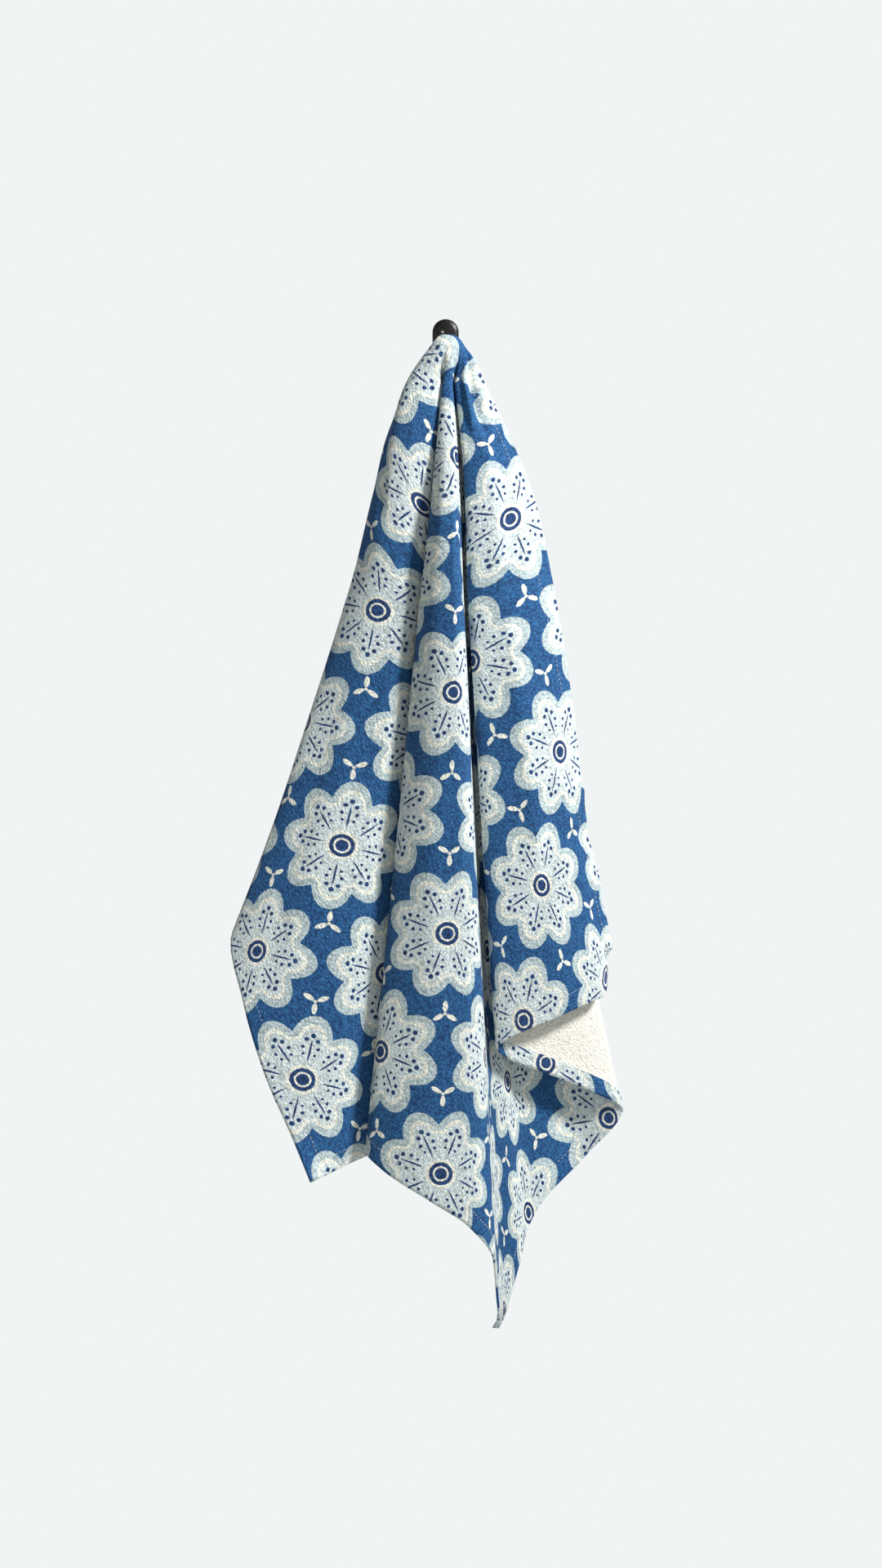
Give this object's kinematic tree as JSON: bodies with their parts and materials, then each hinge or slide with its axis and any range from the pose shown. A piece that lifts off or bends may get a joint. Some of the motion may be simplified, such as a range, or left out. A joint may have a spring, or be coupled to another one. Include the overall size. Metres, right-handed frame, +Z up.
{
  "type": "tea towel on a wall hook",
  "caption": "Printed cotton tea towel hanging in folds from a point of its long edge over a small black wall hook",
  "frame": {"origin": "the middle of the hook's back face, where it lies on the wall", "axes": "+Y points into the wall, +Z up, +X to the right as one faces the wall; the towel hangs on the -Y side"},
  "size_m": [0.249, 0.0625, 0.6528],
  "materials": {
    "towel": "blue cotton crepe printed on one side with a pale grey-blue daisy pattern, natural cream on the back",
    "hook": "glossy black lacquer"
  },
  "bodies": {
    "root": {"towel": "towel", "hook": "hook", "hook_screw": "hook"}
  },
  "joints": []
}
